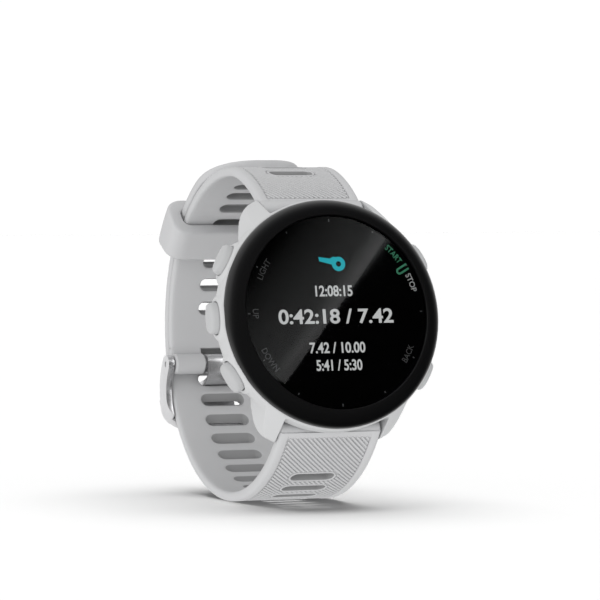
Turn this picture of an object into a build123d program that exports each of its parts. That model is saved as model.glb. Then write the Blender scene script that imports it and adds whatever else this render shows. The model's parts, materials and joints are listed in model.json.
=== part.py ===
"""Running watch on its closed strap, built as separate parts.

Lengths are in mm. The parts are drawn in the dial's own frame: X to 3 o'clock,
Y from the glass back towards the wrist, Z to 12 o'clock. place() then leans the
watch back on its strap and stands it on the floor, Z up.
"""

import os
from math import cos, radians, sin

from build123d import *

os.makedirs("parts", exist_ok=True)

# Pose of the watch as it stands on its strap
LEAN = 11.2  # the dial leans back by this many degrees
SEAT = (-0.8, 27.556, -35.474)  # middle of the footprint at the floor, after leaning

# Case
CASE_R = 21.0
CAVITY_R = 17.0
CASE_FRONT, CASE_LEDGE, CASE_BACK = 2.0, 8.7, 9.3
COVER_R = 18.05
LUG_GAP = 10.15  # half the gap between a pair of lugs
BAR_Y, BAR_Z = 8.0, 20.0  # strap bar, measured from the dial's centre

# Bezel, glass and display
BEZEL_R = 20.7
GLASS_R = 17.5
PANEL_R = 15.6

# Buttons: the angle of each one's axis in the dial's plane
BUTTONS = {"light": 151.0, "up": 180.0, "down": 209.4, "start": 29.0, "back": -31.0}
BUTTON_Y = 4.7
CAP_LONG, CAP_WIDE = 5.8, 3.6
CAP_IN, CAP_OUT = 20.4, 22.6
SHAFT_R = 0.9
RUNNING = 0.05  # radial clearance of a shaft in its hole

# Screws of the rear cover
SCREW_AT = 11.3
SCREW_R = 0.6

# Strap: the face where its two halves meet, as tangent arcs about the X axis.
# Each arc is (first angle, last angle, radius); 0 degrees is the buckle side.
LOOP_Y, LOOP_Z = 28.3, 1.4
LOOP_ARCS = [(-140.0, 60.0, 29.5), (60.0, 100.0, 32.1), (100.0, 116.0, 17.0), (116.0, 142.0, 26.6)]
STRAP_W = 9.9  # half width
STRAP_T = 1.8
STRAP_GAP = 0.05  # each half stands this far off the shared face
SLOT_L, SLOT_W = 8.4, 2.4
BARREL_R = 1.75
LOWER_START = -133.5
TAIL_TIP = 90.5
TAIL_ROUND = 9.5  # corner radius of the tail's tip
UPPER_START, UPPER_END = -2.0, 138.0
TONGUE_SLOT = -9.3  # the lower strap's slot that the buckle's tongue passes through
LOWER_SLOTS = [TONGUE_SLOT + 8.6 * k for k in range(-12, 0)] + [TONGUE_SLOT + 8.95 * k for k in range(9)]
UPPER_SLOTS = [17.8, 27.3, 37.0, 46.0, 55.3, 64.2, 72.3, 80.0, 88.2, 96.3, 106.3, 119.5]

# Buckle
PIVOT_Y, PIVOT_Z = 55.75, -0.6
PIVOT_R = 0.9
END_R = 1.95  # strap's end round the buckle bar
ARM_IN, ARM_OUT = 10.25, 11.4
TONGUE_W = 3.4
TONGUE_T = 0.9
CROSSBAR_AT = -23.5
CROSSBAR_DOWN = 1.3  # the frame's foot, from the crossbar's middle
FRAME_ROUND = 4.6  # outer corners of the frame, seen square to the strap

# Keeper
KEEPER_FROM, KEEPER_TO = 41.0, 56.0
KEEPER_WALL = 2.4
KEEPER_PLAY = 0.3
KEEPER_ROUND = 2.8  # outer corners


def place(shape):
    return Pos(-SEAT[0], -SEAT[1], -SEAT[2]) * Rot(-LEAN, 0, 0) * shape


def save(name, shape):
    export_step(place(shape), f"parts/{name}.step")


def facing(y):
    """Plane across the dial at depth y, with local x = X and local y = Z."""
    return Plane(origin=(0, y, 0), x_dir=(1, 0, 0), z_dir=(0, -1, 0))


def slab(sketch, y0, y1):
    """A flat outline made solid from depth y0 back to y1."""
    return extrude(facing(y1) * sketch, y1 - y0)


def disc(r, y0, y1, x=0, z=0):
    return slab(Pos(x, z) * Circle(r), y0, y1)


def ring(r_in, r_out, y0, y1):
    return disc(r_out, y0, y1) - disc(r_in, y0 - 1, y1 + 1)


def turned(points):
    """A closed outline of (radius, depth) points turned about the dial's axis."""
    return revolve(make_face(Polyline(*points, close=True)), Axis.Y)


def block(x0, x1, y0, y1, z0, z1):
    size = Box(x1 - x0, y1 - y0, z1 - z0)
    return Pos((x0 + x1) / 2, (y0 + y1) / 2, (z0 + z1) / 2) * size


def along_x(sketch, x0, x1):
    """An outline in (Y, Z) made solid from x0 to x1."""
    plane = Plane(origin=(x0, 0, 0), x_dir=(0, 1, 0), z_dir=(1, 0, 0))
    return extrude(plane * sketch, x1 - x0)


def rod(r, x0, x1, y, z):
    return along_x(Pos(y, z) * Circle(r), x0, x1)


def radial(angle, r):
    """Plane square to a button's axis, at radius r, local x round the case."""
    a = radians(angle)
    at = (r * cos(a), BUTTON_Y, r * sin(a))
    return Plane(origin=at, x_dir=(-sin(a), 0, cos(a)), z_dir=(cos(a), 0, sin(a)))


def post(angle, sketch, r0, r1):
    return extrude(radial(angle, r0) * sketch, r1 - r0)


def loop_arcs():
    """Each arc of the loop with its centre: first and last angle, Y, Z, radius."""
    y, z, r = LOOP_Y, LOOP_Z, LOOP_ARCS[0][2]
    arcs = []
    for first, last, radius in LOOP_ARCS:
        a = radians(first)
        y += (r - radius) * cos(a)
        z += (r - radius) * sin(a)
        r = radius
        arcs.append((first, last, y, z, r))
    return arcs


def loop_point(phi, offset, arc=None):
    """A point off the loop's face, square to it at the angle phi."""
    if arc is None:
        arc = next(a for a in loop_arcs() if phi <= a[1])
    y, z, r = arc[2:]
    a = radians(phi)
    return (y + (r + offset) * cos(a), z + (r + offset) * sin(a))


def loop_line(start, end, offset):
    """The loop's face from one angle to another, moved outwards by an offset."""
    lines = []
    for arc in loop_arcs():
        a, b = max(start, arc[0]), min(end, arc[1])
        if b - a > 0.01:
            lines.append(ThreePointArc(*[loop_point(t, offset, arc) for t in (a, (a + b) / 2, b)]))
    return lines


def band(start, end, low, high):
    """Outline of the strap between two angles and two offsets."""
    lines = loop_line(start, end, high) + loop_line(start, end, low)
    for t in (start, end):
        lines.append(Line(loop_point(t, low), loop_point(t, high)))
    return make_face(lines)


def slot(phi):
    a = radians(phi)
    y, z = loop_point(phi, 0)
    plane = Plane(origin=(0, y, z), x_dir=(1, 0, 0), z_dir=(0, cos(a), sin(a)))
    return extrude(plane * SlotOverall(SLOT_L, SLOT_W), 4, both=True)


# ---------------------------------------------------------------- case

case = turned([(0, 2.0), (20.7, 2.0), (21.0, 2.3), (21.0, 5.0), (19.7, 8.8), (19.3, 9.3), (0, 9.3)])
# Each lug is a corner outline kept inside a turned shape, so its front falls away as a cone
lug_corner = [(LUG_GAP, 12.0), (LUG_GAP, 23.0), (11.3, 21.5), (12.1, 20.9), (12.7, 20.0)]
lug_corner += [(13.15, 18.8), (13.5, 17.2), (13.85, 15.0), (13.85, 12.0)]
lug_limit = [(12.0, 2.3), (20.9, 2.3), (21.3, 2.8), (24.1, 7.8), (24.2, 8.6)]
lug_limit += [(23.7, 9.6), (22.4, 10.1), (19.0, 9.4), (12.0, 9.2)]
lug_limit = turned(lug_limit)
for end in (1, -1):
    for side in (1, -1):
        outline = make_face(Polyline(*[(side * x, end * z) for x, z in lug_corner], close=True))
        case += slab(outline, 0, 12) & lug_limit
for angle in BUTTONS.values():
    case += post(angle, SlotOverall(7.4, 5.2), 18.0, 21.3)
case -= disc(CAVITY_R, 1, CASE_LEDGE)
case -= disc(18.2, CASE_LEDGE, 10)
for x in (-SCREW_AT, SCREW_AT):
    for z in (-SCREW_AT, SCREW_AT):
        boss = disc(1.8, 5.4, CASE_LEDGE, x, z) & disc(CAVITY_R + 0.5, 5, 9)
        case += boss
        case -= disc(1.1, 6.0, 9, x, z)
for end in (1, -1):
    case -= rod(BARREL_R + 0.3, -LUG_GAP, LUG_GAP, BAR_Y, end * BAR_Z)
    case -= rod(0.5, -11.4, 11.4, BAR_Y, end * BAR_Z)
for angle in BUTTONS.values():
    case -= post(angle, SlotOverall(CAP_LONG + 0.2, CAP_WIDE + 0.2), 19.7, 24)
    case -= post(angle, Circle(1.46), 19.2, 20)
    case -= post(angle, Circle(SHAFT_R + RUNNING), 15, 20)
save("case_body", case)

bezel = [(20.7, 2.0), (20.7, 1.5), (20.3, 0.7), (19.3, -0.2), (18.2, -0.75), (17.8, -0.8)]
bezel += [(17.55, -0.6), (17.55, 0.75), (16.0, 0.75), (16.0, 2.0)]
save("bezel_ring", turned(bezel))
save("lens", turned([(0, -0.45), (17.3, -0.45), (17.5, -0.25), (17.5, 0.55), (0, 0.55)]))
save("lens_seal", ring(16.1, 17.4, 0.55, 0.75))
save("display_panel", disc(PANEL_R, 0.6, 1.9))
carrier = disc(16.1, 2.05, 2.9) - block(-9, 9, 1, 2.5, -7, 7)
save("display_carrier", carrier - block(-3.5, 3.5, 1, 4, -17, -15.4))

flex = [(1.9, -14.0), (1.9, -15.65), (3.05, -15.65), (3.05, -14.0), (2.93, -14.0)]
flex += [(2.93, -15.53), (2.02, -15.53), (2.02, -14.0)]
save("display_flex", along_x(make_face(Polyline(*flex, close=True)), -3, 3))
save("main_board", disc(15.8, 3.05, 3.7))
cans = block(-9, 3, 3.7, 5.0, -5, 5) + block(4.5, 10.5, 3.7, 4.9, -3.5, 3.5)
save("shield_cans", cans)

arc = ring(16.3, 16.8, 3.1, 6.4)
wedge = Polyline((0, 0), (13, 18.6), (13, 22), (-13, 22), (-13, 18.6), close=True)
save("gps_antenna", arc & slab(make_face(wedge), 2, 8))
save("battery", fillet(block(-12, 12, 5.3, 8.1, -8.5, 8.5).edges().filter_by(Axis.Y), 1.5))
save("vibration_motor", disc(3.4, 5.2, 7.6, 0, -12.6))
save("buzzer", disc(3.4, 5.2, 6.5, 0, 12.4))

switches = None
for angle in BUTTONS.values():
    key = post(angle, Rectangle(3.0, 1.0), 15.0, 15.7)
    body = post(angle, Pos(0, 0.2) * Rectangle(4.2, 1.4), 13.4, 15.0)
    key = key + body
    switches = key if switches is None else switches + key
save("side_switches", switches)

# ---------------------------------------------------------------- back

cover = [(7.05, 8.9), (COVER_R, 8.9), (COVER_R, 9.5), (17.7, 9.8), (9.6, 9.8), (9.1, 10.3), (7.05, 10.3)]
cover = turned(cover)
screws, inserts = [], []
for x in (-SCREW_AT, SCREW_AT):
    for z in (-SCREW_AT, SCREW_AT):
        cover -= disc(1.3, 9.15, 11, x, z) + disc(SCREW_R + 0.1, 8, 11, x, z)
        head = disc(1.2, 9.15, 9.75, x, z)
        drive = slab(Pos(x, z) * RegularPolygon(0.5, 6), 9.4, 10)
        screws.append(head - drive + disc(SCREW_R - 0.02, 6.3, 9.2, x, z))
        inserts.append(disc(1.08, 6.05, CASE_LEDGE, x, z) - disc(SCREW_R, 5, 9, x, z))
pins = [-2.4, -0.8, 0.8, 2.4]
PORT_Z = 13.4
cover -= slab(Pos(0, PORT_Z) * RectangleRounded(7.6, 3.0, 1.0), 9.3, 10)
for x in pins:
    cover -= disc(0.5, 8, 10, x, PORT_Z)
save("rear_cover", cover)
save("rear_screws", Compound(children=screws))
save("screw_inserts", Compound(children=inserts))
save("rear_gasket", ring(17.1, 17.9, CASE_LEDGE, 8.9))
save("charging_contacts", Compound(children=[disc(0.45, 8.3, 9.5, x, PORT_Z) for x in pins]))
window = [(0, 9.2), (6.95, 9.2), (6.95, 10.35), (5.6, 10.65), (3.2, 10.8), (0, 10.8)]
save("sensor_window", turned(window))
save("sensor_board", disc(8.2, 8.2, 8.6))
leds = [block(x - 0.8, x + 0.8, 8.6, 9.0, z - 0.7, z + 0.7) for x, z in ((0, 0), (-3, 2), (3, 2), (0, -3.4))]
save("sensor_leds", Compound(children=leds))

# ---------------------------------------------------------------- buttons

for name, angle in BUTTONS.items():
    cap = post(angle, SlotOverall(CAP_LONG, CAP_WIDE), CAP_IN, CAP_OUT)
    rim = cap.faces().sort_by(lambda f: (f.center().X ** 2 + f.center().Z ** 2) ** 0.5)[-1]
    cap = fillet(rim.edges(), 0.8)
    shaft = post(angle, Circle(SHAFT_R), 16.9, 20.6) + post(angle, Circle(0.6), 16.5, 17.0)
    shaft += post(angle, Circle(SHAFT_R), 16.25, 16.55)
    save(f"{name}_button", cap + shaft)
    seal = post(angle, Circle(1.45), 19.22, 19.68) - post(angle, Circle(SHAFT_R + RUNNING), 19, 20)
    save(f"{name}_seal", seal)
    clip = post(angle, Circle(1.5), 16.57, 16.85) - post(angle, Circle(0.61), 16, 17)
    notch = post(angle, Pos(0, -1.5) * Rectangle(0.9, 3), 16, 17)
    save(f"{name}_clip", clip - notch)

# ---------------------------------------------------------------- strap bars

for name, end in (("upper", 1), ("lower", -1)):
    z = end * BAR_Z
    tube = rod(0.75, -9.4, 9.4, BAR_Y, z) - rod(0.5, -9.5, 8.0, BAR_Y, z)
    tube += rod(0.45, 9.3, 11.0, BAR_Y, z)
    way = block(-7.6, -4.9, BAR_Y, BAR_Y + 2, z - 0.45, z + 0.45)
    save(f"{name}_bar", tube - way)
    pin = rod(0.45, -11.0, -5.0, BAR_Y, z)
    stem = block(-7.4, -6.6, BAR_Y, BAR_Y + 1.9, z - 0.35, z + 0.35)
    knob = block(-7.6, -6.4, BAR_Y + 1.8, BAR_Y + 2.5, z - 0.8, z + 0.8)
    save(f"{name}_release_pin", pin + stem + knob)

# ---------------------------------------------------------------- strap


def bar_way(z):
    """Room in a strap's end for its bar and for the release knob's travel."""
    way = rod(0.8, -12, 12, BAR_Y, z)
    way += block(-7.9, -4.9, BAR_Y, BAR_Y + 3, z - 1.1, z + 1.1)
    return way


lower = band(LOWER_START, TAIL_TIP, STRAP_GAP, STRAP_GAP + STRAP_T)
lower = along_x(lower, -STRAP_W, STRAP_W)
a = radians(TAIL_TIP)
tip = Plane(origin=(0, *loop_point(TAIL_TIP, 0)), x_dir=(1, 0, 0), z_dir=(0, cos(a), sin(a)))
corners = Pos(0, 10) * Rectangle(30, 20.5) - Pos(0, 15) * RectangleRounded(2 * STRAP_W, 30, TAIL_ROUND)
lower -= extrude(tip * corners, 5, both=True)
lower += rod(BARREL_R, -STRAP_W, STRAP_W, BAR_Y, -BAR_Z)
lower -= bar_way(-BAR_Z)
for phi in LOWER_SLOTS:
    lower -= slot(phi)
save("lower_strap", lower)

upper = along_x(band(UPPER_START, UPPER_END, -STRAP_GAP - STRAP_T, -STRAP_GAP), -STRAP_W, STRAP_W)
neck = [loop_point(UPPER_END, offset) for offset in (-STRAP_GAP, -STRAP_GAP - STRAP_T)]
neck = [Line(*neck)] + (Pos(BAR_Y, BAR_Z) * Circle(BARREL_R)).edges()
upper += along_x(make_hull(neck), -STRAP_W, STRAP_W)
upper += rod(END_R, -STRAP_W, STRAP_W, PIVOT_Y, PIVOT_Z)
upper -= bar_way(BAR_Z)
upper -= rod(PIVOT_R + 0.05, -12, 12, PIVOT_Y, PIVOT_Z)
upper -= block(-TONGUE_W - 0.4, TONGUE_W + 0.4, 50, 62, -8, 2.2)
for phi in UPPER_SLOTS:
    upper -= slot(phi)
save("upper_strap", upper)

# ---------------------------------------------------------------- buckle

arm_end = [loop_point(CROSSBAR_AT - 2.5, offset) for offset in (0.4, 3.6)]
arm = [
    ThreePointArc((57.2, 0.3), (59.95, -5.5), arm_end[1]),
    Line(arm_end[1], arm_end[0]),
    ThreePointArc(arm_end[0], (56.6, -6.0), (54.6, -1.85)),
    Line((54.6, -1.85), (57.2, 0.3)),
]
arm = make_face(arm) + Pos(PIVOT_Y, PIVOT_Z) * Circle(1.7)
frame = along_x(arm, ARM_IN, ARM_OUT) + along_x(arm, -ARM_OUT, -ARM_IN)
frame -= rod(0.55, -13, 13, PIVOT_Y, PIVOT_Z)
a = radians(CROSSBAR_AT)
foot = Plane(origin=(0, *loop_point(CROSSBAR_AT, 0)), x_dir=(1, 0, 0), z_dir=(0, cos(a), sin(a)))
outer = Pos(0, CROSSBAR_DOWN - 10) * RectangleRounded(2 * ARM_OUT, 20, FRAME_ROUND)
inner = Pos(0, CROSSBAR_DOWN - 12.2) * RectangleRounded(2 * ARM_IN, 20, FRAME_ROUND - 1.2)
frame -= extrude(foot * (Pos(0, CROSSBAR_DOWN - 5) * Rectangle(30, 14) - outer), 6, both=True)
cross = along_x(band(CROSSBAR_AT - 3.0, CROSSBAR_AT + 9.0, 2.1, 3.6), -ARM_OUT, ARM_OUT)
frame += cross & extrude(foot * (outer - inner), 6, both=True)
notch = band(CROSSBAR_AT - 3.0, CROSSBAR_AT + 3.0, 2.6, 5)
frame -= along_x(notch, -TONGUE_W - 0.3, TONGUE_W + 0.3)
save("buckle_frame", frame)

bar = rod(PIVOT_R, -ARM_IN + 0.1, ARM_IN - 0.1, PIVOT_Y, PIVOT_Z)
bar += rod(0.5, -ARM_OUT + 0.1, ARM_OUT - 0.1, PIVOT_Y, PIVOT_Z)
save("buckle_bar", bar)

outer = band(CROSSBAR_AT - 2.0, -12.0, 2.7, 2.7 + TONGUE_T)
shank = [(53.95, -0.6), (53.95, -2.8), (54.7, -4.15), (56.5, -4.5), (59.3, -4.6)]
shank += [loop_point(-12.5, 2.7), loop_point(-12.5, 3.6), loop_point(-10.0, 3.6), (59.8, -3.7)]
shank += [(56.7, -3.6), (55.2, -3.25), (54.8, -2.4), (54.8, -0.6)]
tongue = outer + make_face(Polyline(*shank, close=True)) + Pos(PIVOT_Y, PIVOT_Z) * Circle(1.8)
tongue -= Pos(PIVOT_Y, PIVOT_Z) * Circle(PIVOT_R + 0.05)
save("buckle_tongue", along_x(tongue, -TONGUE_W, TONGUE_W))

# ---------------------------------------------------------------- keeper

reach = STRAP_GAP + STRAP_T + KEEPER_PLAY
width = STRAP_W + KEEPER_PLAY
far, wide = reach + KEEPER_WALL, width + KEEPER_WALL
outer = along_x(band(KEEPER_FROM, KEEPER_TO, -far, far), -wide, wide)
outer = fillet(outer.edges().filter_by(GeomType.CIRCLE), KEEPER_ROUND)
way = along_x(band(KEEPER_FROM - 1, KEEPER_TO + 1, -reach, reach), -width, width)
way = fillet(way.edges().filter_by(GeomType.CIRCLE), 0.8)
save("keeper_loop", outer - way)
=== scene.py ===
import json
import math

import bmesh
import bpy
from mathutils import Matrix, Vector


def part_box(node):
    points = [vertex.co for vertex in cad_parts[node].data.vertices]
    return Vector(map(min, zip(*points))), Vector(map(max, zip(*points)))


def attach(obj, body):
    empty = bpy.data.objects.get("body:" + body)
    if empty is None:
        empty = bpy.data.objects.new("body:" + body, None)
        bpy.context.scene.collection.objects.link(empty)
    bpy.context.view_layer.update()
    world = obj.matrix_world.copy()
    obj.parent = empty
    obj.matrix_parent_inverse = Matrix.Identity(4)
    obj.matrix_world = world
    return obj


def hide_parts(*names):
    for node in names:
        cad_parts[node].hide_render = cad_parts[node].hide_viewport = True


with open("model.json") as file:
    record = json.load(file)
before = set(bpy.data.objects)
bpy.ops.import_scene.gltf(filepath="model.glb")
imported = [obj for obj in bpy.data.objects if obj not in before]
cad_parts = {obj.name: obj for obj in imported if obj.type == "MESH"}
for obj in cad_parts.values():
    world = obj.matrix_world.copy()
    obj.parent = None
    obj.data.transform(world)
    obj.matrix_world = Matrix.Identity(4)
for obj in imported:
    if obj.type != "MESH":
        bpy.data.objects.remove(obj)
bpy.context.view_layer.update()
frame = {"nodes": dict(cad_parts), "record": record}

# ------------------------------------------------------------------ the dial's frame
# Shapes are worked out in millimetres in the dial's own frame: X to 3 o'clock, Y from
# the glass back to the wrist, Z to 12 o'clock. TO_ROW carries them to the row frame.

GLASS_MIDDLE = 0.05  # how far the CAD glass's middle lies behind the dial's plane
mounts = {m["name"]: m for m in frame["record"]["mounts"]}
dial_axis = Vector(mounts["wrist_face"]["axis"])
LEAN = math.atan2(-dial_axis.z, dial_axis.y)
glass_low, glass_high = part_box("lens")
DIAL = (glass_low + glass_high) / 2 - dial_axis * GLASS_MIDDLE / 1000
TO_ROW = Matrix.Translation(DIAL) @ Matrix.Rotation(-LEAN, 4, "X") @ Matrix.Scale(0.001, 4)

# The same driving dimensions as the CAD part
BUTTONS = {"light": 151.0, "up": 180.0, "down": 209.4, "start": 29.0, "back": -31.0}
BUTTON_Y = 4.7
BAR_Y, BAR_Z = 8.0, 20.0
BARREL_R = 1.75
LUG_GAP = 10.15  # half the gap between a pair of lugs
CASE_R = 21.0
LOOP = [(-140.0, 60.0, 29.5), (60.0, 100.0, 32.1), (100.0, 116.0, 17.0), (116.0, 142.0, 26.6)]
LOOP_Y, LOOP_Z = 28.3, 1.4
STRAP_W, STRAP_T, STRAP_GAP = 9.9, 1.8, 0.05
TONGUE_GAP = 3.8
PIVOT_Y, PIVOT_Z = 55.75, -0.6


def turn(angle):
    """Cosine and sine of an angle in degrees."""
    a = math.radians(angle)
    return math.cos(a), math.sin(a)


def loop_arcs():
    """Each arc of the strap's loop: first and last angle, centre Y and Z, radius."""
    y, z, r, arcs = LOOP_Y, LOOP_Z, LOOP[0][2], []
    for first, last, radius in LOOP:
        c, s = turn(first)
        y, z, r = y + (r - radius) * c, z + (r - radius) * s, radius
        arcs.append((first, last, y, z, r))
    return arcs


ARCS = loop_arcs()


def loop_point(x, phi, offset):
    """A point across the strap at x, at an angle round the loop, off its shared face."""
    arc = next((a for a in ARCS if phi <= a[1]), ARCS[-1])
    c, s = turn(phi)
    r = arc[4] + offset
    return (x, arc[2] + r * c, arc[3] + r * s)


def arc_length(phi, offset):
    """Distance along the loop from its first angle, at an offset."""
    total = 0.0
    for first, last, _, _, r in ARCS:
        total += math.radians(max(0.0, min(phi, last) - first)) * (r + offset)
    return total


def angle_at(length, offset):
    """The angle that lies a length along the loop from its first angle, at an offset."""
    for first, last, _, _, r in ARCS:
        span = math.radians(last - first) * (r + offset)
        if length <= span:
            return first + math.degrees(length / (r + offset))
        length -= span
    return ARCS[-1][1]


# ------------------------------------------------------------------ mesh helpers


def new_object(name, data):
    """An object of its own in the scene."""
    obj = bpy.data.objects.new(name, data)
    bpy.context.scene.collection.objects.link(obj)
    return obj


def new_mesh(name, verts, faces, merge=1e-4, thinnest=0.0):
    """A mesh with doubled points merged, thin slivers gone and its faces turned outwards."""
    mesh = bpy.data.meshes.new(name)
    mesh.from_pydata([Vector(v) for v in verts], [], faces)
    bm = bmesh.new()
    bm.from_mesh(mesh)
    bmesh.ops.remove_doubles(bm, verts=bm.verts, dist=merge)
    if thinnest:
        bmesh.ops.dissolve_degenerate(bm, edges=bm.edges, dist=thinnest)
    bmesh.ops.recalc_face_normals(bm, faces=bm.faces)
    bm.to_mesh(mesh)
    bm.free()
    return mesh


def add_piece(name, verts, faces, material, body="watch", sharp=38, slot=None, replaces=(), merge=1e-4,
              painted_shade_lining=None):
    """A piece from points in the dial's frame, shaded smooth below the sharp angle.

    The last argument is a second material, painted darker as shade, and the test that picks its faces.
    """
    mesh = new_mesh(name, verts, faces, merge, 1e-5)
    painted_shade_faces = [p.index for p in mesh.polygons if painted_shade_lining and painted_shade_lining[1](p.center, p.normal)]
    mesh.transform(TO_ROW)
    obj = dress_piece(new_object(name, mesh), material, body, sharp, replaces)
    if painted_shade_faces:
        mesh.materials.append(painted_shade_lining[0])
        for index in painted_shade_faces:
            mesh.polygons[index].material_index = 1
    return obj


def dress_piece(obj, material, body="watch", sharp=38, replaces=()):
    """Gives an object its material and shading, hangs it on the body it rides on, and hides the CAD parts it
    replaces.
    """
    obj.data.materials.clear()
    obj.data.materials.append(material)
    obj.data.shade_smooth()
    obj.data.set_sharp_from_angle(angle=math.radians(sharp))
    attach(obj, body)
    if replaces:
        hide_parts(*replaces)
    return obj


def raw_object(name, verts, faces):
    """A helper object in the dial's frame, before it is placed."""
    return new_object(name, new_mesh(name, verts, faces))


def apply_modifiers(obj):
    """Keeps the modified shape as the object's own mesh."""
    graph = bpy.context.evaluated_depsgraph_get()
    mesh = bpy.data.meshes.new_from_object(obj.evaluated_get(graph))
    obj.modifiers.clear()
    obj.data = mesh


def boolean(obj, other, kind):
    """Joins, cuts or crosses an object with a helper, which is then removed."""
    cut = obj.modifiers.new("cut", "BOOLEAN")
    cut.operation, cut.object, cut.solver = kind, other, "EXACT"
    apply_modifiers(obj)
    bpy.data.objects.remove(other)


def merged(parts):
    """Several (verts, faces) as one."""
    verts, faces = [], []
    for v, f in parts:
        base = len(verts)
        verts += v
        faces += [tuple(i + base for i in face) for face in f]
    return verts, faces


def turned(profile, steps, place):
    """A closed (radius, depth) outline turned full circle, each point put where place says."""
    verts, faces, n = [], [], len(profile)
    for k in range(steps):
        c, s = turn(360 * k / steps)
        verts += [place(r * c, r * s, depth) for r, depth in profile]
    for k in range(steps):
        a, b = k * n, (k + 1) % steps * n
        for i in range(n):
            j = (i + 1) % n
            faces.append((a + i, a + j, b + j, b + i))
    return verts, faces


def lathe(profile, steps=192):
    """A closed (radius, depth) outline turned about the dial's axis."""
    return turned(profile, steps, lambda across, rise, y: (across, y, rise))


def tube_x(r_out, r_in, x0, x1, y, z, steps, edge):
    """A tube along X with chamfered ends."""
    profile = [(r_in, x0), (r_out - edge, x0), (r_out, x0 + edge),
               (r_out, x1 - edge), (r_out - edge, x1), (r_in, x1)]
    return turned(profile, steps, lambda across, rise, x: (x, y + across, z + rise))


def rounded(points, radius, steps=4):
    """An outline with each corner taken off by a small curve."""
    out, n = [], len(points)
    for i, p in enumerate(points):
        p = Vector(p)
        a, b = Vector(points[i - 1]) - p, Vector(points[(i + 1) % n]) - p
        reach = min(radius, a.length * 0.45, b.length * 0.45)
        start, end = p + a.normalized() * reach, p + b.normalized() * reach
        for k in range(steps + 1):
            t = k / steps
            out.append(tuple(start * (1 - t) ** 2 + p * 2 * t * (1 - t) + end * t * t))
    return out


def loft(rings, caps=True):
    """Closed rings of equally many points joined one to the next."""
    n, verts, faces = len(rings[0]), [], []
    for ring in rings:
        verts += [tuple(p) for p in ring]
    for k in range(len(rings) - 1):
        for i in range(n):
            j = (i + 1) % n
            faces.append((k * n + i, k * n + j, (k + 1) * n + j, (k + 1) * n + i))
    if caps:
        faces.append(tuple(range(n)))
        faces.append(tuple((len(rings) - 1) * n + i for i in reversed(range(n))))
    return verts, faces


def circle(radius, steps, centre=(0.0, 0.0)):
    """Points round a circle."""
    angles = [turn(360 * k / steps) for k in range(steps)]
    return [(centre[0] + radius * c, centre[1] + radius * s) for c, s in angles]


OVAL_POWER = 0.9  # 1 is an ellipse


def oval(length, width, steps=56):
    """Points round an oval whose sides are a little fuller than an ellipse's."""
    points = []
    for k in range(steps):
        c, s = turn(360 * k / steps)
        x = math.copysign(abs(c) ** OVAL_POWER, c) * length / 2
        points.append((x, math.copysign(abs(s) ** OVAL_POWER, s) * width / 2))
    return points


def on_rim(angle, radius, across, deep):
    """A point by a button's axis: across it round the case, and deep along the dial's axis."""
    c, s = turn(angle)
    return (radius * c - across * s, BUTTON_Y + deep, radius * s + across * c)


# ------------------------------------------------------------------ materials


def node(tree, kind, values=None, **links):
    """A shader node with values set on its inputs, and output sockets joined to inputs by name."""
    made = tree.nodes.new("ShaderNode" + kind)
    for key, value in (values or {}).items():
        made.inputs[key].default_value = value
    for key, socket in links.items():
        tree.links.new(socket, made.inputs[key])
    return made


PAINTED_SHADE_REACH = 0.0024  # how near a wall has to be for the painted shade to darken a hollow


def surface(name, colour, rough, grain=0.3, bump=0.15, vary=0.05, rough_vary=0.06, stretch=(1, 1, 1),
            painted_shade=0.0, **sockets):
    """A procedural surface: grain in its bump and roughness, drift in its colour, and hollows darkened as
    painted shade.

    grain is the size of the grain in millimetres; sockets are values for the shader itself.
    """
    mat = bpy.data.materials.new(name)
    mat.use_nodes = True
    tree = mat.node_tree
    shader = tree.nodes["Principled BSDF"]
    for key, value in sockets.items():
        shader.inputs[key.replace("_", " ")].default_value = value
    place = node(tree, "TexCoord").outputs["Object"]
    scale = [1000 / grain / s for s in stretch]
    fine_map = node(tree, "Mapping", {"Scale": scale}, Vector=place)
    fine = node(tree, "TexNoise", {"Scale": 1.0, "Detail": 3.0}, Vector=fine_map.outputs["Vector"])
    slow = node(tree, "TexNoise", {"Scale": 160.0, "Detail": 4.0}, Vector=place)
    mix = tree.nodes.new("ShaderNodeMix")
    mix.data_type = "RGBA"
    mix.inputs["A"].default_value = (*[max(0.0, c * (1 - vary)) for c in colour], 1)
    mix.inputs["B"].default_value = (*[min(1.0, c * (1 + vary)) for c in colour], 1)
    tree.links.new(slow.outputs["Fac"], mix.inputs["Factor"])
    tint = mix.outputs["Result"]
    # Painted shade: ambient occlusion darkens the base colour near walls, in hollows and grooves.
    if painted_shade:
        shade = node(tree, "AmbientOcclusion", {"Distance": PAINTED_SHADE_REACH})
        shade.samples, shade.only_local = 6, True
        depth = node(tree, "MapRange", {"To Min": 1 - painted_shade, "From Max": 0.9}, Value=shade.outputs["AO"])
        darker = tree.nodes.new("ShaderNodeVectorMath")
        darker.operation = "SCALE"
        tree.links.new(tint, darker.inputs[0])
        tree.links.new(depth.outputs["Result"], darker.inputs["Scale"])
        tint = darker.outputs["Vector"]
    tree.links.new(tint, shader.inputs["Base Color"])
    limits = {"To Min": max(0.02, rough - rough_vary), "To Max": min(1.0, rough + rough_vary)}
    spread = node(tree, "MapRange", limits, Value=fine.outputs["Fac"])
    tree.links.new(spread.outputs["Result"], shader.inputs["Roughness"])
    lift = node(tree, "Bump", {"Strength": bump, "Distance": grain * 1e-4}, Height=fine.outputs["Fac"])
    tree.links.new(lift.outputs["Normal"], shader.inputs["Normal"])
    return mat


def glow(name, colour, strength):
    """Lit marks of the display, nearly black when they are unlit."""
    mat = surface(name, [c * 0.03 for c in colour], 0.4, grain=0.2, bump=0.0)
    shader = mat.node_tree.nodes["Principled BSDF"]
    shader.inputs["Emission Color"].default_value = (*colour, 1)
    shader.inputs["Emission Strength"].default_value = strength
    return mat


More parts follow.
